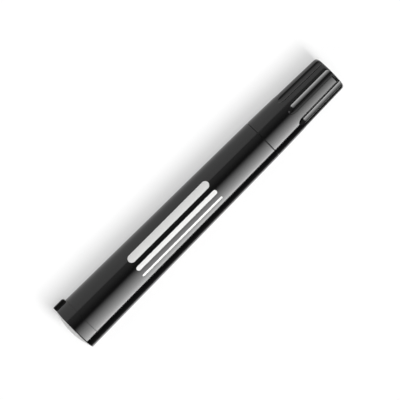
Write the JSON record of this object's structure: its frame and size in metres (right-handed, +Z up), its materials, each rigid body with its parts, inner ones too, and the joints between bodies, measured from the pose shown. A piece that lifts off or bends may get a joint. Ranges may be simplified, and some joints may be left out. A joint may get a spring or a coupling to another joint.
{
  "type": "permanent marker",
  "caption": "Thick permanent marker with a tapered glossy black barrel, a fluted pull-off cap over a bullet nib, and a domed tail plug with a nub that stops it rolling.",
  "frame": {"origin": "on the table, under the middle of the marker's length", "axes": "+X along the marker's axis from the tail to the cap, +Z up from the table, with the nub turned down and towards +Y until it touches the table"},
  "size_m": [0.132, 0.019, 0.0189],
  "materials": {
    "barrel_black": "glossy black moulded polypropylene",
    "tail_black": "glossy black moulded polypropylene",
    "disc_grey": "pale grey satin plastic",
    "section_black": "satin black moulded polypropylene",
    "nib_felt": "pressed polyester fibre, soaked with black ink",
    "core_fibre": "polyester fibre, soaked with black ink",
    "wrap_film": "clear polypropylene film",
    "inner_natural": "natural milky polyethylene",
    "cap_black": "glossy black moulded polypropylene"
  },
  "bodies": {
    "barrel": {"barrel": "barrel_black", "tail_plug": "tail_black", "tail_disc": "disc_grey", "front_section": "section_black", "nib": "nib_felt", "reservoir_core": "core_fibre", "reservoir_wrap": "wrap_film"},
    "inner_cap": {"inner_cap": "inner_natural"},
    "cap": {"cap": "cap_black"}
  },
  "joints": [
    {"name": "cap_pull", "type": "slide", "parent": "barrel", "child": "inner_cap", "axis": [1, 0, 0], "range_m": [0, 0.06]},
    {"name": "cap_twist", "type": "hinge", "parent": "inner_cap", "child": "cap", "pos_m": [0.05, 0, 0.00947], "axis": [1, 0, 0], "continuous": true}
  ]
}
